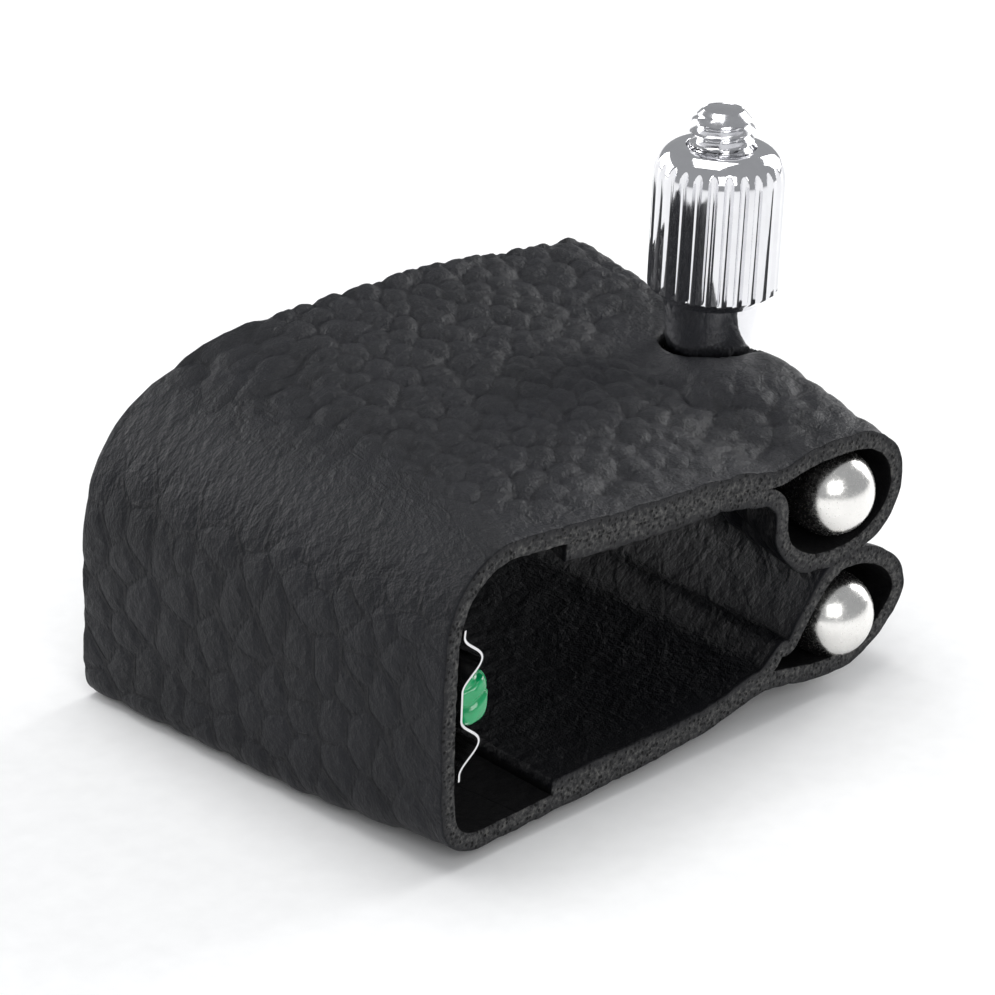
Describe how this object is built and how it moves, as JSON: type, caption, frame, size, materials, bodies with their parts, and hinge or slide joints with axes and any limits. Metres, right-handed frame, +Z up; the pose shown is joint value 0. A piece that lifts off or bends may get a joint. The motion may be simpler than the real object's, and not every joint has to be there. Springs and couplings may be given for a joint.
{
  "type": "saxophone ligature",
  "caption": "Leather band ligature with a reed plate, two steel rods in end loops and one screw with a tall knurled nut that draws the loops together.",
  "frame": {"origin": "centre of the whole object's box, at the level it lies on", "axes": "+Y runs along the mouthpiece from the narrow rim to the wide rim, +X from the reed wall to the screw, +Z up along the screw"},
  "size_m": [0.045, 0.0316, 0.0326],
  "materials": {
    "leather": "black pebbled grain, semi-matt",
    "rod_steel": "polished nickel plate",
    "stud_steel": "nickel plate over cut thread",
    "nut_chrome": "bright chrome plate, fluted grip",
    "plate_steel": "bright rolled sheet with a sheared edge",
    "green_resin": "glossy moulded resin"
  },
  "bodies": {
    "band_base": {"band_lower": "leather", "reed_plate": "plate_steel", "plate_bead": "green_resin", "lower_rod": "rod_steel", "threaded_stud": "stud_steel"},
    "band_top": {"band_upper": "leather"},
    "rod_carriage": {"upper_rod": "rod_steel"},
    "nut": {"knurled_nut": "nut_chrome"}
  },
  "joints": [
    {"name": "rod_slide", "type": "slide", "parent": "band_base", "child": "rod_carriage", "axis": [0, 0, 1], "range_m": [0, 0.0028]},
    {"name": "nut_turn", "type": "hinge", "parent": "rod_carriage", "child": "nut", "pos_m": [0.01408, -0.0015, 0.02], "axis": [0, 0, 1], "range_deg": [0, 1440.5]},
    {"name": "band_flex", "type": "hinge", "parent": "band_base", "child": "band_top", "pos_m": [-0.0225, 0, 0.015], "axis": [0, -1, 0], "range_deg": [0, 4.5]}
  ],
  "couplings": [
    {"joint": "nut_turn", "follows": "rod_slide", "rad_per_m": 8976},
    {"joint": "band_flex", "follows": "rod_slide", "rad_per_m": 27.337}
  ]
}
